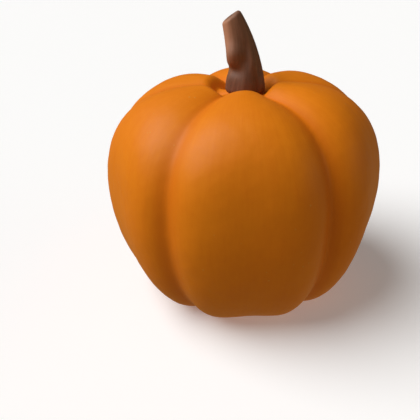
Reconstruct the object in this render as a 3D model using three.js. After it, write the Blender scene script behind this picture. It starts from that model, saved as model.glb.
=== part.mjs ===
// A whole ripe pumpkin: a fruit of six flat-fronted lobes with its cut, woody stem in the pit on top.
// Millimetres, +Z up. The origin is on the surface that the pumpkin stands on, under the upright axis
// of the fruit. -Y is the front, and the stem leans towards -X.
import * as THREE from "three";

// The outline of the fruit, down the crest of a lobe. Radii are from the upright axis, and heights are
// above the surface that the lobes would touch before they are pressed flat.
const bodyRadius = 125; // where the fruit is widest
const bodyHeight = 111; // of that widest place
const crownRadius = 38; // the ring of the highest points, round the pit
const crownHeight = 208;
const seatHeight = 197; // of the flat floor of the pit, which the stem grows from
const footRadius = 54; // the ring that the fruit stands on
const blossomHeight = 9.5; // the hollow in the middle of the underside
const restFlat = 1.2; // how much of each foot is pressed flat

// How far the outline runs on straight, on each side of those places, before it bends.
const blossomRun = 26;
const footInnerRun = 22;
const footOuterRun = 51;
const bodyLowerRun = 45;
const bodyUpperRun = 55;
const crownOuterRun = 70;
const crownInnerRun = 10;
const seatRun = 4;

// The grooves between the lobes: the direction of each in degrees from the front (-Y) towards +X, its
// depth beside the others, and how much deeper it is at the waist, as a share of the radius.
const grooves = [
  { direction: -29, deep: 0.9, waist: 0.02 },
  { direction: 38, deep: 1.2, waist: 0.06 },
  { direction: 97, deep: 0.5, waist: 0 },
  { direction: 151, deep: 1, waist: 0.02 },
  { direction: 211, deep: 1, waist: 0.02 },
  { direction: 267, deep: 0.7, waist: 0 },
];
// How the lobes change along the outline, at the blossom, the foot, the body, the crown and the seat:
// the depth of a groove below the middle of a lobe, and how much farther out a flat front stands at
// its sides than in its middle, both as shares of the radius; how much of the waist there is; and the
// sharpness, which makes wider fronts and narrower grooves when it is higher.
const grooveDepth = [0, 0.02, 0.005, 0.08, 0];
const frontFlatness = [0, 0.148, 0.16, 0, 0];
const waistShare = [0, 0, 1, 0, 0];
const grooveSharpness = [3.6, 3.6, 3.6, 2, 2];

// The stem. Heights are above its foot.
const stemGap = 0.3; // between the stem's foot and the floor of the pit
const seatMargin = 1; // from the stem's foot to the edge of the floor of the pit
const stemHeight = 64.5; // of the middle of the cut end
const stemShift = { foot: 3.5, low: 3.8, high: 0.5, tip: -8.2 }; // of its centre line, towards +X
const stemRadius = { foot: 18, tip: 8.8 };
const stemTaper = 1.2; // a higher power keeps it thick for longer
const footRound = 5; // rounding of the edge of the foot
const cutSlant = 33; // degrees from level, facing up and to -X
const cutRound = 2.5; // rounding of the rim of the cut
const stemRidges = 5;
const ridgeHeight = 0.4;
const ridgeTwist = 50; // degrees, over the whole stem
// Swellings and hollows: how far they stand out, their direction and height, and their spread.
const stemKnobs = [
  { out: 3.5, direction: -30, height: 36, wide: 32, tall: 9 },
  { out: -3.2, direction: -45, height: 21.5, wide: 38, tall: 4.5 },
  { out: -2.5, direction: 5, height: 29, wide: 18, tall: 6 },
  { out: -1.5, direction: 20, height: 37, wide: 14, tall: 8 },
  { out: -1.8, direction: -90, height: 20.5, wide: 30, tall: 5 },
  { out: 1.6, direction: 33, height: 28, wide: 14, tall: 9 },
  { out: 1, direction: -5, height: 10, wide: 30, tall: 8 },
  { out: -2, direction: 36, height: 8, wide: 9, tall: 11 },
  { out: -1.5, direction: 62, height: 22, wide: 12, tall: 7 },
];

const seatRadius = stemShift.foot + stemRadius.foot + ridgeHeight + seatMargin;

// How finely the surfaces are divided.
const stepsPerLobe = 16;
const outlineSteps = [6, 12, 12, 5];
const stemSides = 40;
const stemSteps = 24;
const footSteps = 4;

const radians = THREE.MathUtils.degToRad;
const mix = THREE.MathUtils.lerp;

// A point at a radius and a direction from the front, at a height.
function pointAt(radius, direction, height) {
  const angle = radians(direction);
  return new THREE.Vector3(radius * Math.sin(angle), -radius * Math.cos(angle), height);
}

// A closed mesh from a point, a stack of rings and another point. The rings run anticlockwise seen
// from above, and the stack goes upwards over the outside.
function closedSurface(first, rings, last) {
  const sides = rings[0].length;
  const points = [first, ...rings.flat(), last];
  const top = points.length - 1;
  const index = [];
  for (let side = 0; side < sides; side++) {
    const next = (side + 1) % sides;
    index.push(0, 1 + next, 1 + side);
    for (let ring = 0; ring < rings.length - 1; ring++) {
      const low = 1 + ring * sides;
      const high = low + sides;
      index.push(low + side, low + next, high + next);
      index.push(low + side, high + next, high + side);
    }
    index.push(top, top - sides + side, top - sides + next);
  }
  const geometry = new THREE.BufferGeometry().setFromPoints(points);
  geometry.setIndex(index);
  geometry.computeVertexNormals();
  return geometry;
}

// One bend of the outline, level at both ends or upright at the body.
function bend(from, fromRun, toRun, to) {
  const corner = (place, run) => new THREE.Vector2(place[0] + run[0], place[1] + run[1]);
  const still = [0, 0];
  return new THREE.CubicBezierCurve(
    corner(from, still), corner(from, fromRun), corner(to, toRun), corner(to, still));
}

const blossom = [0, blossomHeight];
const foot = [footRadius, 0];
const body = [bodyRadius, bodyHeight];
const crown = [crownRadius, crownHeight];
const seat = [seatRadius, seatHeight];
const outline = [
  bend(blossom, [blossomRun, 0], [-footInnerRun, 0], foot),
  bend(foot, [footOuterRun, 0], [0, -bodyLowerRun], body),
  bend(body, [0, bodyUpperRun], [crownOuterRun, 0], crown),
  bend(crown, [-crownInnerRun, 0], [seatRun, 0], seat),
];

// A value between two of its places along the outline, changing smoothly from one to the other.
function valueAlong(places, part, along) {
  return mix(places[part], places[part + 1], THREE.MathUtils.smoothstep(along, 0, 1));
}

// The directions of the mesh's columns, with one in every groove. Each is marked with its way across
// the lobe, 0 in the middle and 1 in the groove, and with the groove nearest to it.
function lobeColumns() {
  const columns = [];
  grooves.forEach((start, lobe) => {
    const end = grooves[(lobe + 1) % grooves.length];
    const width = THREE.MathUtils.euclideanModulo(end.direction - start.direction, 360);
    for (let step = 0; step < stepsPerLobe; step++) {
      const way = (2 * step) / stepsPerLobe - 1;
      columns.push({
        direction: start.direction + (width * step) / stepsPerLobe,
        across: Math.abs(way),
        groove: way < 0 ? start : end,
      });
    }
  });
  return columns;
}

// The outline at one place becomes a ring of lobes, let out and drawn in from a point on the axis that
// is level with the widest place.
function fruitRing(part, along) {
  const place = outline[part].getPoint(along);
  const flatness = valueAlong(frontFlatness, part, along);
  const depth = valueAlong(grooveDepth, part, along);
  const waist = valueAlong(waistShare, part, along);
  const sharpness = valueAlong(grooveSharpness, part, along);
  return lobeColumns().map(({ direction, across, groove }) => {
    const cut = (flatness + depth * groove.deep + waist * groove.waist) * across ** sharpness;
    const swell = 1 + flatness * across ** 2 - cut;
    const height = bodyHeight + (place.y - bodyHeight) * swell;
    return pointAt(place.x * swell, direction, Math.max(height, restFlat) - restFlat);
  });
}

function fruitGeometry() {
  const rings = [];
  outlineSteps.forEach((steps, part) => {
    for (let step = 0; step < steps; step++) {
      rings.push(fruitRing(part, step / steps));
    }
  });
  rings.shift(); // the blossom is a single point
  rings.push(fruitRing(outline.length - 1, 1));
  const bottom = pointAt(0, 0, blossomHeight - restFlat);
  const top = pointAt(0, 0, seatHeight - restFlat);
  return closedSurface(bottom, rings, top);
}

// The shorter way round from one direction to another, in degrees.
function turnBetween(from, to) {
  return THREE.MathUtils.euclideanModulo(to - from + 180, 360) - 180;
}

// The distance of the bark from the stem's centre line.
function barkRadius(direction, height) {
  const share = height / stemHeight;
  let radius = mix(stemRadius.foot, stemRadius.tip, share ** stemTaper);
  const short = Math.max(1 - height / footRound, 0);
  radius -= footRound * (1 - Math.sqrt(1 - short ** 2));
  radius += ridgeHeight * Math.cos(radians(stemRidges * (direction - ridgeTwist * share)));
  for (const knob of stemKnobs) {
    const aside = turnBetween(knob.direction, direction) / knob.wide;
    const above = (height - knob.height) / knob.tall;
    radius += knob.out * Math.exp(-(aside ** 2) - above ** 2);
  }
  return radius;
}

// A ring of bark round the centre line. The rings lean over more and more, up to the slant of the cut.
function stemRing(share, inset) {
  const height = share * stemHeight;
  const middle = new THREE.CubicBezierCurve(
    new THREE.Vector2(stemShift.foot, 0), new THREE.Vector2(stemShift.low, stemHeight / 3),
    new THREE.Vector2(stemShift.high, (2 * stemHeight) / 3),
    new THREE.Vector2(stemShift.tip, stemHeight)).getPoint(share);
  const lean = -radians(cutSlant) * share ** 3;
  return Array.from({ length: stemSides }, (_, side) => {
    const direction = (360 * side) / stemSides;
    const point = pointAt(barkRadius(direction, height) - inset, direction, 0);
    point.applyAxisAngle(new THREE.Vector3(0, 1, 0), lean);
    return point.add(new THREE.Vector3(middle.x, 0, middle.y));
  });
}

function stemGeometry() {
  const rings = [];
  const firstShare = footRound / stemHeight;
  const lastShare = 1 - cutRound / stemHeight;
  for (let step = 0; step < footSteps; step++) {
    rings.push(stemRing(firstShare * (1 - Math.cos((Math.PI / 2) * (step / footSteps))), 0));
  }
  for (let step = 0; step <= stemSteps; step++) {
    rings.push(stemRing(mix(firstShare, lastShare, step / stemSteps), 0));
  }
  rings.push(stemRing(1 - (cutRound * 0.3) / stemHeight, cutRound * 0.3));
  rings.push(stemRing(1, cutRound));
  const middleOf = (ring) =>
    ring.reduce((sum, point) => sum.add(point), new THREE.Vector3()).divideScalar(ring.length);
  return closedSurface(middleOf(rings[0]), rings, middleOf(rings.at(-1)));
}

const rind = new THREE.MeshStandardMaterial({ color: 0xe87a12, roughness: 0.5, metalness: 0 });
const bark = new THREE.MeshStandardMaterial({ color: 0x6e4630, roughness: 0.8, metalness: 0 });

const fruit = new THREE.Mesh(fruitGeometry(), rind);
fruit.name = "fruit";

const stem = new THREE.Mesh(stemGeometry(), bark);
stem.name = "stem";
stem.position.z = seatHeight - restFlat + stemGap;

const pumpkin = new THREE.Group();
pumpkin.add(fruit, stem);

export default pumpkin;
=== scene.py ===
# %% [markdown]
# # A ripe pumpkin
#
# A whole pumpkin stands on a pale floor. It has two pieces: the fruit, which is six flat-fronted lobes
# round a pit, and the short woody stem that grows from the floor of the pit and ends in a slanted cut.
# The fixed frame holds both as plain solids, which give the place and the size of everything here.
# Each solid is then replaced by a finer one of the same form, made by Geometry Nodes, because both
# shapes follow a rule: a ring that changes as it travels along a line.

# %% Load the frame
import math

import bpy
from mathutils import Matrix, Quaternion, Vector


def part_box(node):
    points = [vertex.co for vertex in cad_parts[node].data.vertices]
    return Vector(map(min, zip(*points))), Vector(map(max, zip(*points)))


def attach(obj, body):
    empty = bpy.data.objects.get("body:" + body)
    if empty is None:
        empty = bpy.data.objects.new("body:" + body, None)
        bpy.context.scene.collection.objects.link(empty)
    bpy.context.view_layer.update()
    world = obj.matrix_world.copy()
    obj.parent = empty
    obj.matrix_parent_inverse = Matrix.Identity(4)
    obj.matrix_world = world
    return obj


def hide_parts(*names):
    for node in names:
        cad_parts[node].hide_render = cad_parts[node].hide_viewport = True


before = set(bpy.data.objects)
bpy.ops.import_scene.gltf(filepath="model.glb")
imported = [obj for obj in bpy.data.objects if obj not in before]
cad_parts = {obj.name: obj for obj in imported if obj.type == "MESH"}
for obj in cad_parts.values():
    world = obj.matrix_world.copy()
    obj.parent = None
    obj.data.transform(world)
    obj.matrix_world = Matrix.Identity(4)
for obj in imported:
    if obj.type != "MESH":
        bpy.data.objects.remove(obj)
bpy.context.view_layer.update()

# %% [markdown]
# ## The camera
#
# The camera stands in front of the fruit and above it, about two of the fruit's widths away, and looks
# down on it, high enough to see over the front lobe to the foot of the stem. It is tipped a little to
# one side, so that the fruit leans in the view as it does when someone holds the camera by hand. Its
# place and its aim are shares of the width, depth and height of the fruit's box, measured from the
# middle of the fruit's underside.

# %% Place the camera
fruit_low, fruit_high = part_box("fruit")
under_middle = Vector(((fruit_low.x + fruit_high.x) / 2, (fruit_low.y + fruit_high.y) / 2, fruit_low.z))
fruit_size = fruit_high - fruit_low
camera_place = under_middle + fruit_size * Vector((0.005, -1.743, 1.521))
camera_aim = under_middle + fruit_size * Vector((-0.128, 0.001, 0.361))
camera_roll = math.radians(-2.43)
camera_lens = 41.84  # mm, on a sensor 36 mm wide

camera = bpy.data.objects.new("camera", bpy.data.cameras.new("camera"))
camera.data.lens = camera_lens
camera.location = camera_place
camera.rotation_mode = "QUATERNION"
level_view = (camera_aim - camera_place).to_track_quat("-Z", "Y")
camera.rotation_quaternion = level_view @ Quaternion((0, 0, 1), camera_roll)
bpy.context.scene.collection.objects.link(camera)
bpy.context.scene.camera = camera
print("camera:", round((camera_aim - camera_place).length, 3), "m from what it looks at")

# %% [markdown]
# ## Short ways to build a node tree
#
# A node tree can be drawn by hand or built by a script. Built by a script, every node takes a line to
# make it and a line for each of its links, which soon hides the formula. So two small helpers come
# first. A `Wire` is a value that runs through a tree: a sum written with wires, such as `a * b + 1`,
# puts Math nodes on the board and links them. A `Board` is a tree, with its named inputs and outputs.

# %% Wires and boards
def plug(value, socket):
    """Links a wire to a socket, or sets the socket to a plain value."""
    if isinstance(value, Wire):
        socket.id_data.links.new(value.socket, socket)
    else:
        socket.default_value = value


class Wire:
    """A value that runs through a tree. A formula of wires and numbers becomes Math nodes."""

    def __init__(self, socket):
        self.socket = socket

    def math(self, operation, *others, flip=False):
        node = self.socket.id_data.nodes.new("ShaderNodeMath")
        node.operation = operation
        terms = [*others, self] if flip else [self, *others]
        for value, socket in zip(terms, node.inputs):
            plug(value, socket)
        return Wire(node.outputs[0])

    def __add__(self, other):
        return self.math("ADD", other)

    def __sub__(self, other):
        return self.math("SUBTRACT", other)

    def __mul__(self, other):
        return self.math("MULTIPLY", other)

    def __truediv__(self, other):
        return self.math("DIVIDE", other)

    def __pow__(self, other):
        return self.math("POWER", other)

    def __rsub__(self, other):
        return self.math("SUBTRACT", other, flip=True)

    def __rtruediv__(self, other):
        return self.math("DIVIDE", other, flip=True)

    __radd__ = __add__


class Board:
    """A node tree. Its named inputs are read with board["Name"]."""

    def __init__(self, name, inputs=(), outputs=(), kind="GeometryNodeTree", tree=None):
        self.tree = tree or bpy.data.node_groups.new(name, kind)
        if not tree:
            for way, sockets in (("INPUT", inputs), ("OUTPUT", outputs)):
                for form, names in sockets:
                    for socket in names:
                        self.tree.interface.new_socket(
                            socket, in_out=way, socket_type="NodeSocket" + form)
            self.given = self.tree.nodes.new("NodeGroupInput")
            self.result = self.tree.nodes.new("NodeGroupOutput")

    def __getitem__(self, name):
        return Wire(self.given.outputs[name])

    def add(self, kind, inputs=None, **settings):
        """Puts a node on the board and returns it."""
        node = self.tree.nodes.new(kind)
        for name, value in settings.items():
            setattr(node, name, value)
        for name, value in (inputs or {}).items():
            plug(value, node.inputs[name])
        return node

    def wire(self, kind, inputs=None, out=0, **settings):
        """Puts a node on the board and returns one of its outputs."""
        return Wire(self.add(kind, inputs, **settings).outputs[out])

    def use(self, other, **inputs):
        """Puts another board in this one as a group, and returns its outputs by name."""
        kind = self.tree.bl_idname.replace("NodeTree", "NodeGroup")
        named = {name.replace("_", " "): value for name, value in inputs.items()}
        node = self.add(kind, named, node_tree=other.tree)
        return {socket.name: Wire(socket) for socket in node.outputs}

    def give(self, **outputs):
        """Links what the board makes to its outputs."""
        for name, value in outputs.items():
            plug(value, self.result.inputs[name.replace("_", " ")])

    def point(self, x, y, z):
        return self.wire("ShaderNodeCombineXYZ", {"X": x, "Y": y, "Z": z})

    def parts(self, vector):
        node = self.add("ShaderNodeSeparateXYZ", {"Vector": vector})
        return [Wire(socket) for socket in node.outputs]

    def mix(self, start, end, share):
        """From one number to another."""
        return self.wire("ShaderNodeMix", {0: share, 2: start, 3: end}, clamp_factor=False)

    def mix_points(self, start, end, share):
        """From one point to another."""
        return self.wire("ShaderNodeMix", {0: share, 4: start, 5: end}, out=1,
                         data_type="VECTOR", clamp_factor=False)

    def mix_colours(self, start, end, share):
        """From one colour to another."""
        return self.wire("ShaderNodeMix", {0: share, 6: start, 7: end}, out=2, data_type="RGBA")

    def span(self, value, start, end, to_start=0.0, to_end=1.0, how="LINEAR"):
        """Stretches one range of a value to another, and holds it at the ends."""
        return self.wire("ShaderNodeMapRange", {
            "Value": value, "From Min": start, "From Max": end, "To Min": to_start, "To Max": to_end},
            interpolation_type=how)


# %% [markdown]
# ## A bend
#
# Both the outline of a lobe and the centre line of the stem are smooth bends between two places. A
# Bezier bend is made of straight mixes only: mix each pair of neighbours among its four points, then
# mix each pair of the three results, then the last two. This group does that for one point along it.

# %% The bend group
bend = Board(
    "bend",
    inputs=[("Vector", ["From", "From handle", "To handle", "To"]), ("Float", ["Along"])],
    outputs=[("Vector", ["Place"])])
points = [bend[name] for name in ("From", "From handle", "To handle", "To")]
while len(points) > 1:
    points = [bend.mix_points(near, far, bend["Along"]) for near, far in zip(points, points[1:])]
bend.give(Place=points[0])
print("bend:", len(bend.tree.nodes), "nodes")

# %% [markdown]
# ## A band of skin
#
# The outline of a lobe has five parts, from the blossom end under the fruit to the floor of the pit on
# top. For each part a flat grid is rolled up round the axis: across the grid is the way round the
# fruit, and up the grid is the way along the outline. Each point also keeps the notes that the next
# steps need: its direction, how far along it is, how deep and how sharp the grooves are there, how flat
# the fronts of the lobes are, and how much it belongs to the waist, the widest place of the fruit.

# %% The band group
whole_turn = 360
one_degree = math.radians(1)
band = Board(
    "band of skin",
    inputs=[
        ("Int", ["Columns", "Rows"]),
        ("Vector", ["From", "From handle", "To handle", "To"]),
        ("Float", ["Start depth", "End depth", "Start flatness", "End flatness",
                   "Start sharpness", "End sharpness", "Start waist", "End waist", "Number"])],
    outputs=[("Geometry", ["Skin"])])
across_grid, up_grid, _ = band.parts(band.wire("GeometryNodeInputPosition"))
direction = (across_grid + 0.5) * whole_turn
along = up_grid + 0.5
turned = direction * one_degree
outline_place = band.use(
    bend, From=band["From"], From_handle=band["From handle"], To_handle=band["To handle"],
    To=band["To"], Along=along)["Place"]
radius, _, height = band.parts(outline_place)
rolled = band.point(radius * turned.math("SINE"), 0 - radius * turned.math("COSINE"), height)
slowly = band.span(along, 0.0, 1.0, how="SMOOTHSTEP")
notes = {
    "direction": direction,
    "along": along + band["Number"],
    "waist": band.mix(band["Start waist"], band["End waist"], slowly),
    "groove_depth": band.mix(band["Start depth"], band["End depth"], slowly),
    "front_flatness": band.mix(band["Start flatness"], band["End flatness"], slowly),
    "groove_sharpness": band.mix(band["Start sharpness"], band["End sharpness"], slowly),
}
skin = band.wire("GeometryNodeMeshGrid", {
    "Size X": 1.0, "Size Y": 1.0, "Vertices X": band["Columns"] + 1, "Vertices Y": band["Rows"] + 1})
for name, value in notes.items():
    skin = band.wire("GeometryNodeStoreNamedAttribute", {
        "Geometry": skin, "Name": name, "Value": value}, data_type="FLOAT", domain="POINT")
band.give(Skin=band.wire("GeometryNodeSetPosition", {"Geometry": skin, "Position": rolled}))
print("band of skin:", len(band.tree.nodes), "nodes")

# %% [markdown]
# ## One lobe
#
# A groove lies between each two lobes. This group looks at one lobe only: it tells how far a direction
# is across it, from 0 in the middle to 1 in the groove on either side, how deep the nearer groove is
# beside the others, and how much deeper it gets at the waist. Outside its own lobe it gives 0, so that
# six of them can be added up. The first number is rounded off close to the groove, because living skin
# folds into a groove without a crack.

# %% The lobe group
lobe = Board(
    "lobe",
    inputs=[("Float", ["Direction", "Start", "End", "Start deep", "End deep", "Start waist",
                       "End waist", "Roundness"])],
    outputs=[("Float", ["Across", "Deep", "Waist"])])
turn = (lobe["Direction"] - lobe["Start"]).math("FLOORED_MODULO", whole_turn)
width = (lobe["End"] - lobe["Start"]).math("FLOORED_MODULO", whole_turn)
inside = turn.math("LESS_THAN", width)
way = turn * 2 / width - 1
from_groove = 1 - way.math("ABSOLUTE")
roundness = lobe["Roundness"]
rounded = (from_groove * from_groove + roundness * roundness).math("SQRT") - roundness
whole = (roundness * roundness + 1).math("SQRT") - roundness
past = way.math("GREATER_THAN", 0.0)
lobe.give(
    Across=inside * (1 - rounded / whole),
    Deep=inside * lobe.mix(lobe["Start deep"], lobe["End deep"], past),
    Waist=inside * lobe.mix(lobe["Start waist"], lobe["End waist"], past))
print("lobe:", len(lobe.tree.nodes), "nodes")

# %% [markdown]
# ## The fruit
#
# The fruit is the five bands joined, then swollen. A pumpkin's lobes are let out and its grooves are
# drawn in from the middle of the fruit, so each point moves straight away from the place on the axis
# that is level with the widest part. The front of a lobe is flat, which takes it farther out at its
# sides than in its middle. Last, slow and quick noise make the skin a little uneven, as anything that
# grew is, and the feet of the lobes are pressed flat where the fruit stands.

# %% Sizes of the fruit
mm = 0.001  # in metres
grooves = [  # degrees from the front towards +X, depth beside the others, and extra at the waist
    (-29, 0.9, 0.02), (38, 1.2, 0.06), (97, 0.5, 0.0), (151, 1.0, 0.02), (211, 1.0, 0.02),
    (267, 0.7, 0.0)]
outline = {  # mm: radius and height, then how far the line runs straight before and after each place
    "blossom": ((0, 9.5), None, (26, 0)),
    "foot": ((54, 0), (-22, 0), (51, 0)),
    "body": ((125, 111), (0, -45), (0, 55)),
    "crown": ((38, 208), (70, 0), (-10, 0)),
    "seat": ((23, 197), (4, 1), (-8, 0)),
    "axis": ((0, 197), (8, 0), None),
}
groove_depth = {"foot": 0.02, "body": 0.005, "crown": 0.08, "seat": 0.07}  # shares of the radius
front_flatness = {"foot": 0.148, "body": 0.16}  # how much farther out a lobe's sides stand, as shares
groove_sharpness = {  # a higher power makes wider fronts and narrower grooves
    "blossom": 3.6, "foot": 3.6, "body": 3.6, "crown": 2.0, "seat": 1.6, "axis": 1.6}
waist_share = {"body": 1.0}
body_radius, body_height = (size * mm for size in outline["body"][0])
slow_waves, quick_waves = 16.0, 75.0  # how many humps of the skin there are to the metre
scar_edge = (0.16, 0.10)  # where the blossom scar starts and is whole, as shares of the first band
skin_stretch = 0.12  # how fast the pattern of the streaks runs along the fruit
fruit_sizes = {
    "Body height": body_height,
    "Press": 1.2 * mm,  # how much of each foot is pressed flat
    "Roundness": 0.07,  # of the grooves, as a share of half a lobe
    "Slow wave": 0.9 * mm,
    "Quick wave": 0.3 * mm,
}
fruit_columns = 360  # faces round the fruit
band_rows = [18, 78, 70, 26, 6]  # faces along each band, from the blossom end up
print("fruit: widest", round(body_radius * 2 / mm), "mm before its lobes are let out")

# %% The fruit tree
fruit_tree = Board(
    "pumpkin fruit",
    inputs=[("Float", [*fruit_sizes, *(f"Groove {n + 1}" for n in range(len(grooves)))]),
            ("Material", ["Material"])],
    outputs=[("Geometry", ["Fruit"])])


def outline_point(place, run=(0, 0)):
    """A place of the outline, moved along its run, as a point of the flat outline."""
    return ((place[0] + run[0]) * mm, 0.0, (place[1] + run[1]) * mm)


names = list(outline)
bands = fruit_tree.add("GeometryNodeJoinGeometry")
for number, (low, high) in enumerate(zip(names, names[1:])):
    made = fruit_tree.use(
        band, Columns=fruit_columns, Rows=band_rows[number], Number=float(number),
        From=outline_point(outline[low][0]),
        From_handle=outline_point(outline[low][0], outline[low][2]),
        To_handle=outline_point(outline[high][0], outline[high][1]),
        To=outline_point(outline[high][0]),
        Start_depth=groove_depth.get(low, 0.0), End_depth=groove_depth.get(high, 0.0),
        Start_flatness=front_flatness.get(low, 0.0), End_flatness=front_flatness.get(high, 0.0),
        Start_sharpness=groove_sharpness[low], End_sharpness=groove_sharpness[high],
        Start_waist=waist_share.get(low, 0.0), End_waist=waist_share.get(high, 0.0))
    plug(made["Skin"], bands.inputs[0])


def noted(board, name, form="FLOAT"):
    """A note that an earlier step left on each point."""
    return board.wire("GeometryNodeInputNamedAttribute", {"Name": name}, data_type=form)


across = 0.0
deep = 0.0
waist = 0.0
for n, (_, start_deep, start_waist) in enumerate(grooves):
    after = (n + 1) % len(grooves)
    _, end_deep, end_waist = grooves[after]
    one = fruit_tree.use(
        lobe, Direction=noted(fruit_tree, "direction"), Roundness=fruit_tree["Roundness"],
        Start=fruit_tree[f"Groove {n + 1}"], End=fruit_tree[f"Groove {after + 1}"],
        Start_deep=start_deep, End_deep=end_deep, Start_waist=start_waist, End_waist=end_waist)
    across = one["Across"] + across
    deep = one["Deep"] + deep
    waist = one["Waist"] + waist
flatness = noted(fruit_tree, "front_flatness")
depth = noted(fruit_tree, "groove_depth") * deep + noted(fruit_tree, "waist") * waist
cut = (flatness + depth) * across ** noted(fruit_tree, "groove_sharpness")
swell = 1 + flatness * across * across - cut
x, y, z = fruit_tree.parts(fruit_tree.wire("GeometryNodeInputPosition"))
level = fruit_tree["Body height"]
swollen = fruit_tree.point(x * swell, y * swell, level + (z - level) * swell)
slow_noise = fruit_tree.wire(
    "ShaderNodeTexNoise", {"Vector": swollen, "Scale": slow_waves, "Detail": 1.0})
quick_noise = fruit_tree.wire(
    "ShaderNodeTexNoise", {"Vector": swollen, "Scale": quick_waves, "Detail": 1.0})
uneven = (slow_noise - 0.5) * fruit_tree["Slow wave"] + (quick_noise - 0.5) * fruit_tree["Quick wave"]
x, y, z = fruit_tree.parts(swollen)
share = 1 + uneven * 2 / body_radius
press = fruit_tree["Press"]
pressed = fruit_tree.point(
    x * share, y * share, (level + (z - level) * share).math("MAXIMUM", press) - press)
turned = noted(fruit_tree, "direction") * one_degree
along = noted(fruit_tree, "along")
skin = Wire(bands.outputs[0])
for name, form, value in (
        ("across", "FLOAT", across),
        ("skin_place", "FLOAT_VECTOR", fruit_tree.point(
            turned.math("COSINE"), turned.math("SINE"), along * skin_stretch)),
        ("blossom_scar", "FLOAT", fruit_tree.span(along, *scar_edge, how="SMOOTHSTEP"))):
    skin = fruit_tree.wire("GeometryNodeStoreNamedAttribute", {
        "Geometry": skin, "Name": name, "Value": value}, data_type=form, domain="POINT")
skin = fruit_tree.wire("GeometryNodeSetPosition", {"Geometry": skin, "Position": pressed})
skin = fruit_tree.wire("GeometryNodeMergeByDistance", {"Geometry": skin, "Distance": 1e-6})
skin = fruit_tree.wire("GeometryNodeSetShadeSmooth", {"Geometry": skin})
skin = fruit_tree.wire("GeometryNodeRealizeInstances", {"Geometry": skin})
skin = fruit_tree.wire("GeometryNodeSetMaterial", {"Geometry": skin, "Material": fruit_tree["Material"]})
fruit_tree.give(Fruit=skin)
print("fruit tree:", len(fruit_tree.tree.nodes), "nodes")

# %% [markdown]
# ## The stem
#
# A cut stem is a tube of wood that is thickest where it grew into the fruit. It leans over as it rises,
# and its rings lean with it until the last one has the slant of the knife's cut. One grid makes it
# from end to end. The lowest rows close its root, which goes a little way down into the fruit, because
# the two grew together. Most rows are bark, a few round the rim of the cut, and the last ones close the
# cut. Knuckles and hollows are soft swellings, each at its own place.

# %% Sizes of the stem
stem_sizes = {
    "Height": 64.5 * mm,
    "Foot radius": 18 * mm,
    "Tip radius": 8.8 * mm,
    "Taper": 1.2,  # a higher power keeps it thick for longer
    "Foot rounding": 5 * mm,
    "Root": 5 * mm,
    "Cut slant": 33.0,  # degrees
    "Cut rounding": 2.5 * mm,
    "Ridge height": 0.4 * mm,
    "Ridge twist": 50.0,  # degrees, over the whole stem
    "Fibre height": 0.3 * mm,
}
stem_ridges = 5
stem_centre = ((3.5, 0), (3.8, 21.5), (0.5, 43), (-8.2, 64.5))  # mm: towards +X, and height
knobs = [  # mm out, degrees from the front, mm up, and how far it spreads in degrees and in mm
    (3.5, -30, 36, 32, 9),
    (-3.2, -45, 21.5, 38, 4.5),
    (-2.5, 5, 29, 18, 6),
    (-1.5, 20, 37, 14, 8),
    (-1.8, -90, 20.5, 30, 5),
    (1.6, 33, 28, 14, 9),
    (1.0, -5, 10, 30, 8),
    (-2.0, 36, 8, 9, 11),
    (-1.5, 62, 22, 12, 7)]
foot_end, bark_end, rim_end = 0.04, 0.88, 0.93  # where the parts of the stem end, as shares of its rows
fibre_ring = 16 * mm  # about the radius of the lower stem; above it the fibres narrow with the stem
fibre_stretch = 0.09  # how fast the pattern runs up the stem
fibre_scale = 330.0
stem_columns = 180  # faces round the stem
stem_rows = 150  # faces from its root to the middle of the cut
stem_low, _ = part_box("stem")
stem_floor = stem_low.z  # the underside of the plain stem
print("stem: stands in the pit from", round(stem_floor / mm, 1), "mm up")

# %% The knob group
knob = Board(
    "knob",
    inputs=[("Float", ["Direction", "Height", "Out", "At direction", "At height", "Wide", "Tall"])],
    outputs=[("Float", ["Swelling"])])
half_turn = whole_turn / 2
aside = (knob["Direction"] - knob["At direction"] + half_turn).math("FLOORED_MODULO", whole_turn)
aside = (aside - half_turn) / knob["Wide"]
above = (knob["Height"] - knob["At height"]) / knob["Tall"]
spread = (0 - aside * aside - above * above).math("EXPONENT")
knob.give(Swelling=knob["Out"] * spread)

# %% The stem tree
stem_tree = Board(
    "pumpkin stem",
    inputs=[("Float", [*stem_sizes, "Floor"]), ("Material", ["Material"])],
    outputs=[("Geometry", ["Stem"])])
across_grid, up_grid, _ = stem_tree.parts(stem_tree.wire("GeometryNodeInputPosition"))
direction = (across_grid + 0.5) * whole_turn
rise = up_grid + 0.5
tall, rounding = stem_tree["Height"], stem_tree["Cut rounding"]
closing = stem_tree.span(rise, 0.0, foot_end / 2) * (1 - stem_tree.span(rise, rim_end, 1.0))
below = 1 - stem_tree.span(rise, foot_end / 2, foot_end)
rim_turn = stem_tree.span(rise, bark_end, rim_end) * (math.pi / 2)
share = stem_tree.span(rise, foot_end, bark_end) * (1 - rounding / tall)
share = share + rim_turn.math("SINE") * rounding / tall
height = share * tall
turned = direction * one_degree
bark_radius = stem_tree.mix(
    stem_tree["Foot radius"], stem_tree["Tip radius"], share ** stem_tree["Taper"])
short = (1 - height / stem_tree["Foot rounding"]).math("MAXIMUM", 0.0)
tuck = 1 - (1 - short * short).math("SQRT")
twist = stem_tree["Ridge twist"] * share
ridge_turn = (direction - twist) * (stem_ridges * one_degree)
bark_radius = bark_radius - stem_tree["Foot rounding"] * tuck
bark_radius = bark_radius + stem_tree["Ridge height"] * ridge_turn.math("COSINE")
for out, at_direction, at_height, wide, spread_up in knobs:
    bark_radius = bark_radius + stem_tree.use(
        knob, Direction=direction, Height=height, Out=out * mm, At_direction=float(at_direction),
        At_height=at_height * mm, Wide=float(wide), Tall=spread_up * mm)["Swelling"]
fibre_turn = turned - twist * one_degree
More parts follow.
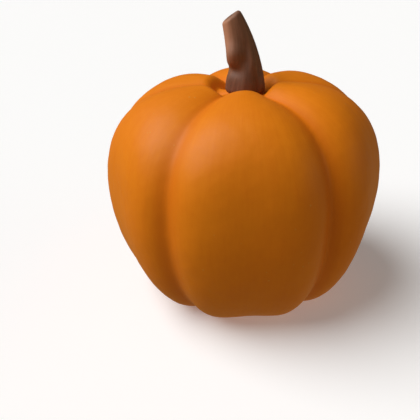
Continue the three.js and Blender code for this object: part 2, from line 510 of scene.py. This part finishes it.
fibre_place = stem_tree.point(
    fibre_turn.math("COSINE") * fibre_ring, fibre_turn.math("SINE") * fibre_ring,
    height * fibre_stretch)
fibres = stem_tree.wire("ShaderNodeTexNoise", {
    "Vector": fibre_place, "Scale": fibre_scale, "Detail": 2.0})
on_bark = stem_tree.span(rise, foot_end, foot_end * 2) * (1 - stem_tree.span(rise, bark_end, rim_end))
bark_radius = bark_radius + (fibres - 0.5) * stem_tree["Fibre height"] * on_bark
reach = (bark_radius - (1 - rim_turn.math("COSINE")) * rounding) * closing
lean = share * share * share * stem_tree["Cut slant"] * math.radians(-1)
side_x = reach * turned.math("SINE")
middle = stem_tree.use(
    bend, Along=share, **{name: (place[0] * mm, 0.0, place[1] * mm) for name, place in zip(
        ("From", "From_handle", "To_handle", "To"), stem_centre)})["Place"]
middle_x, _, middle_z = stem_tree.parts(middle)
placed = stem_tree.point(
    middle_x + side_x * lean.math("COSINE"),
    0 - reach * turned.math("COSINE"),
    middle_z - side_x * lean.math("SINE") + stem_tree["Floor"] - below * stem_tree["Root"])
wood = stem_tree.wire("GeometryNodeMeshGrid", {
    "Size X": 1.0, "Size Y": 1.0, "Vertices X": stem_columns + 1, "Vertices Y": stem_rows + 1})
notes = {
    "cut_face": stem_tree.span(rise, (bark_end + rim_end) / 2, rim_end),
    "from_centre": reach,
}
for name, value in notes.items():
    wood = stem_tree.wire("GeometryNodeStoreNamedAttribute", {
        "Geometry": wood, "Name": name, "Value": value}, data_type="FLOAT", domain="POINT")
wood = stem_tree.wire("GeometryNodeStoreNamedAttribute", {
    "Geometry": wood, "Name": "fibre_place", "Value": fibre_place},
    data_type="FLOAT_VECTOR", domain="POINT")
wood = stem_tree.wire("GeometryNodeSetPosition", {"Geometry": wood, "Position": placed})
wood = stem_tree.wire("GeometryNodeMergeByDistance", {"Geometry": wood, "Distance": 1e-6})
wood = stem_tree.wire("GeometryNodeSetShadeSmooth", {"Geometry": wood})
wood = stem_tree.wire("GeometryNodeRealizeInstances", {"Geometry": wood})
wood = stem_tree.wire("GeometryNodeSetMaterial", {"Geometry": wood, "Material": stem_tree["Material"]})
stem_tree.give(Stem=wood)
print("stem tree:", len(stem_tree.tree.nodes), "nodes")

# %% [markdown]
# ## Grain
#
# Rind and bark are both made of cells that grew, so neither is one even colour or one even gloss. The
# same three scales show on both: wide soft patches, grain that the eye can just make out, and a fine
# tooth that only breaks up the shine. They are one node group, and each finish gives it its own sizes.
# It hands back a number for the colour, one for the gloss and a height for the bump.

# %% The grain group
grain = Board(
    "grain", kind="ShaderNodeTree",
    inputs=[("Vector", ["Place"]), ("Float", ["Patch size", "Grain size", "Tooth size"])],
    outputs=[("Float", ["Shade", "Gloss", "Height"])])
patches, grains, tooth = (
    grain.wire("ShaderNodeTexNoise", {
        "Vector": grain["Place"], "Scale": 1 / grain[size], "Detail": detail})
    for size, detail in (("Patch size", 2.0), ("Grain size", 3.0), ("Tooth size", 2.0)))
grain.give(
    Shade=grain.span(patches * 0.65 + grains * 0.35, 0.3, 0.7),
    Gloss=grain.span(grains * 0.5 + tooth * 0.5, 0.3, 0.7),
    Height=grains * 0.6 + tooth * 0.4)
print("grain:", len(grain.tree.nodes), "nodes")


# %% A finish starts from the standard shader
def new_finish(name, roughness, specular):
    """A material with one shader. Gives back the material, its board and its shader."""
    material = bpy.data.materials.new(name)
    material.use_nodes = True
    shader = material.node_tree.nodes["Principled BSDF"]
    shader.inputs["Roughness"].default_value = roughness
    shader.inputs["Specular IOR Level"].default_value = specular
    return material, Board(name, tree=material.node_tree), shader


def bump(board, shader, height, depth, strength):
    """Lets a height pattern roughen a shader's surface, to a depth in metres."""
    tilt = board.wire(
        "ShaderNodeBump", {"Height": height, "Distance": depth, "Strength": strength}, out="Normal")
    plug(tilt, shader.inputs["Normal"])


relief = 0.4 * mm  # how deep the grain of both finishes looks


# %% [markdown]
# ## The rind
#
# A ripe rind is a tough waxy skin over orange flesh. It is painted a little darker in the grooves than
# on the lobes, as painted shade. Its colour is drawn out in faint streaks from the stem to the blossom
# end, because that is the way the fruit stretched as it grew. Here and there is a small pale corky
# fleck, where a pore healed. The wax is thin, so the shine is broad and soft. The streaks need a pattern
# that follows the lobes, so they use a note that the tree left on each point, as the grooves and the
# blossom scar do. The grain and the flecks use the object's own place.

# %% Finish the rind
ripe_orange = (0.86, 0.245, 0.006, 1)
deep_orange = (0.76, 0.175, 0.003, 1)
# painted shade: the darker orange painted into the grooves
groove_shade_orange = (0.66, 0.135, 0.002, 1)
fleck_tan = (0.80, 0.36, 0.06, 1)
blossom_tan = (0.36, 0.20, 0.08, 1)
streak_scale = 34.0
pore_scale = 95.0  # to the metre
pore_patch_scale = 40.0  # to the metre
rind, board, shader = new_finish("rind", roughness=0.5, specular=0.2)
place = board.wire("ShaderNodeTexCoord", out="Object")
skin_grain = board.use(grain, Place=place, Patch_size=0.055, Grain_size=0.006, Tooth_size=0.0012)
skin_place = board.wire("ShaderNodeAttribute", out="Vector", attribute_name="skin_place")
streaks = board.span(board.wire("ShaderNodeTexNoise", {
    "Vector": skin_place, "Scale": streak_scale, "Detail": 2.0}), 0.35, 0.7)
tint = board.mix_colours(ripe_orange, deep_orange, skin_grain["Shade"] * 0.45 + streaks * 0.15)
across = board.wire("ShaderNodeAttribute", out="Fac", attribute_name="across")
# painted shade: the rind is made darker close to each groove
tint = board.mix_colours(tint, groove_shade_orange, board.span(across, 0.8, 1.0, how="SMOOTHSTEP") * 0.4)
pores = board.wire("ShaderNodeTexVoronoi", {"Vector": place, "Scale": pore_scale}, out="Distance")
pore_patches = board.wire(
    "ShaderNodeTexNoise", {"Vector": place, "Scale": pore_patch_scale, "Detail": 1.0})
flecks = board.span(pores, 0.10, 0.05) * board.span(pore_patches, 0.52, 0.60)
tint = board.mix_colours(tint, fleck_tan, flecks * 0.55)
scar = board.wire("ShaderNodeAttribute", out="Fac", attribute_name="blossom_scar")
tint = board.mix_colours(tint, blossom_tan, scar)
plug(tint, shader.inputs["Base Color"])
plug(board.span(skin_grain["Gloss"] - flecks * 0.3, 0.0, 1.0, 0.55, 0.45), shader.inputs["Roughness"])
bump(board, shader, skin_grain["Height"] + streaks * 0.2 + flecks, relief, strength=0.35)
print("rind:", len(board.tree.nodes), "nodes")

# %% [markdown]
# ## The bark
#
# The stem dries to dull brown wood after it is cut. The upper part of its tip, on the side towards the
# key lamp, is painted paler, as painted light. Its fibres run up it and turn a little with it. The same
# stretched pattern that raised them in the mesh also colours the bark, lighter on their crests and
# darker between them, as painted light and painted shade, with the grain's random tone mixed in. The
# knife left the cut end matt and a little paler than the brown bark, with the ends of the fibres in
# rings round a soft middle.

# %% Finish the bark
bark_brown = (0.25, 0.107, 0.058, 1)
# painted shade between the fibres, and the dark tone of the grain
bark_dark_and_fibre_shade = (0.15, 0.063, 0.036, 1)
# painted light: the paler bark on the side of the tip towards the key lamp
painted_light_bark = (0.60, 0.29, 0.18, 1)
cut_tan = (0.33, 0.17, 0.10, 1)
pith_brown = (0.15, 0.065, 0.035, 1)
painted_light_x_edge = (-2 * mm, -14 * mm)  # where the paler bark starts and is whole, towards -X
painted_light_z_edge = (212 * mm, 240 * mm)  # and upwards
ring_turns = 2600  # radians to the metre, which makes a ring about every 2.4 mm
pith_edge = (3.5 * mm, 1.5 * mm)
bark, board, shader = new_finish("bark", roughness=0.6, specular=0.35)
place = board.wire("ShaderNodeTexCoord", out="Object")
wood_grain = board.use(grain, Place=place, Patch_size=0.016, Grain_size=0.003, Tooth_size=0.0008)
fibre_place = board.wire("ShaderNodeAttribute", out="Vector", attribute_name="fibre_place")
fibres = board.span(board.wire("ShaderNodeTexNoise", {
    "Vector": fibre_place, "Scale": fibre_scale, "Detail": 3.0}), 0.32, 0.68)
# painted light and shade: lighter on the fibres' crests, darker between them, with a random grain tone
tint = board.mix_colours(bark_dark_and_fibre_shade, bark_brown, fibres * 0.55 + wood_grain["Shade"] * 0.45)
bark_x, _, bark_z = board.parts(place)
# painted light: the upper part of the tip on its -X side, towards the key lamp, is made paler
painted_light_side = board.span(bark_x, *painted_light_x_edge) * board.span(bark_z, *painted_light_z_edge)
tint = board.mix_colours(tint, painted_light_bark, painted_light_side * 0.9)
from_centre = board.wire("ShaderNodeAttribute", out="Fac", attribute_name="from_centre")
rings = (from_centre * ring_turns).math("SINE") * 0.5 + 0.5
pith = board.span(from_centre, *pith_edge)
end_shade = (rings * 0.3 + wood_grain["Shade"] * 0.3 + pith).math("MINIMUM", 1.0)
end_tint = board.mix_colours(cut_tan, pith_brown, end_shade)
cut_face = board.wire("ShaderNodeAttribute", out="Fac", attribute_name="cut_face")
plug(board.mix_colours(tint, end_tint, cut_face), shader.inputs["Base Color"])
plug(board.span(wood_grain["Gloss"], 0.0, 1.0, 0.66, 0.52) + cut_face * 0.2, shader.inputs["Roughness"])
bump(board, shader, wood_grain["Height"] + fibres * 0.8 + rings * cut_face * 0.5, relief, strength=0.5)
print("bark:", len(board.tree.nodes), "nodes")

# %% [markdown]
# ## From a tree to a piece
#
# So far the two trees are only recipes. To follow one, an empty mesh gets the tree as a modifier and is
# given its sizes. What comes out is kept as a plain mesh and the modifier is taken off. Only then is the
# piece hung on the body it rides on, and the plain solid that it stands for is hidden.

# %% Grow a piece from its tree
def grow(name, board, sizes, material, node):
    """Runs a tree on an empty mesh, keeps the result as a plain mesh, and hands it to the frame."""
    piece = bpy.data.objects.new(name, bpy.data.meshes.new(name))
    bpy.context.scene.collection.objects.link(piece)
    modifier = piece.modifiers.new("grow", "NODES")
    modifier.node_group = board.tree
    for socket in board.tree.interface.items_tree:
        if socket.in_out == "INPUT" and socket.name in sizes:
            modifier[socket.identifier] = sizes[socket.name]
    grown = piece.evaluated_get(bpy.context.evaluated_depsgraph_get())
    mesh = bpy.data.meshes.new_from_object(grown)
    piece.modifiers.remove(modifier)
    piece.data = mesh
    mesh.name = name
    mesh.materials.clear()
    mesh.materials.append(material)
    mesh.polygons.foreach_set("material_index", [0] * len(mesh.polygons))
    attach(piece, "root")
    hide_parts(node)
    print(name, len(mesh.polygons), "faces")


grow(
    "fruit_skin", fruit_tree,
    {**fruit_sizes, **{f"Groove {n + 1}": float(turn) for n, (turn, _, _) in enumerate(grooves)},
     "Material": rind}, rind, "fruit")
grow(
    "stem_wood", stem_tree, {**stem_sizes, "Floor": stem_floor, "Material": bark}, bark, "stem")

# %% [markdown]
# ## The floor
#
# The pumpkin stands on a pale, matt, seamless floor, which also glows a little so that it reads as
# white. In a studio, a white table throws so much light back up that the underside of a round thing
# looks flat, so black cards are put just out of view to take most of it away. A Light Path node stands
# for the cards: it shows the camera the pale floor, and everything else a dim, warm, even grey.

# %% Lay the floor
floor_half = 12.0
floor_white = (0.90, 0.90, 0.90, 1)
floor_glow = 0.17
card_grey = (1.0, 0.86, 0.45, 1)
card_strength = 0.32
floor_mesh = bpy.data.meshes.new("floor")
floor_mesh.from_pydata(
    [(x * floor_half, y * floor_half, 0.0) for x, y in ((-1, -1), (1, -1), (1, 1), (-1, 1))],
    [], [(0, 1, 2, 3)])
floor = bpy.data.objects.new("floor", floor_mesh)
bpy.context.scene.collection.objects.link(floor)
floor_paint, board, shader = new_finish("floor_paint", roughness=0.9, specular=0.0)
shader.inputs["Base Color"].default_value = floor_white
shader.inputs["Emission Color"].default_value = (1, 1, 1, 1)
shader.inputs["Emission Strength"].default_value = floor_glow
cards = board.wire("ShaderNodeEmission", {"Color": card_grey, "Strength": card_strength})
to_camera = board.wire("ShaderNodeLightPath", out="Is Camera Ray")
seen = board.wire("ShaderNodeMixShader", {0: to_camera, 1: cards, 2: Wire(shader.outputs[0])})
plug(seen, board.tree.nodes["Material Output"].inputs["Surface"])
floor_mesh.materials.append(floor_paint)
print("floor:", floor_half * 2, "m wide")

# %% [markdown]
# ## The light
#
# One large soft lamp high on the left makes the form: it rakes across the lobes, so that each one has
# a bright flank and a dark flank. A much weaker lamp low on the right keeps that edge from going black,
# and a broad weak one in front and above fills the shade. Both of these are faintly warm. A faint even
# light stands for the walls of the room, which look pale to the camera, as the floor does.

# %% Hang the lamps
bpy.context.scene.view_settings.view_transform = "Standard"
room_light = 0.05
wall_paleness = 0.9  # how bright the walls look in a low view, beyond what they give
plain_white = (1.0, 1.0, 1.0)
warm_white = (1.0, 0.85, 0.55)
lamps = {  # where the light comes from, its strength and colour, and how wide it looks in degrees
    "key_light": ((-0.60, -0.06, 0.80), 3.12, plain_white, 50),
    "edge_light": ((0.9, -0.1, 0.08), 0.46, warm_white, 50),
    "front_light": ((0.0, -0.75, 0.66), 0.10, warm_white, 60),
}
world = bpy.data.worlds.new("room")
world.use_nodes = True
background = world.node_tree.nodes["Background"]
background.inputs["Color"].default_value = (1, 1, 1, 1)
board = Board("room", tree=world.node_tree)
to_camera = board.wire("ShaderNodeLightPath", out="Is Camera Ray")
plug(to_camera * wall_paleness + room_light, background.inputs["Strength"])
bpy.context.scene.world = world
for name, (source, strength, colour, wide) in lamps.items():
    lamp = bpy.data.objects.new(name, bpy.data.lights.new(name, "SUN"))
    lamp.data.energy = strength
    lamp.data.color = colour
    lamp.data.angle = math.radians(wide)
    lamp.rotation_mode = "QUATERNION"
    lamp.rotation_quaternion = Vector(source).to_track_quat("Z", "Y")
    bpy.context.scene.collection.objects.link(lamp)
print("lamps:", ", ".join(lamps))
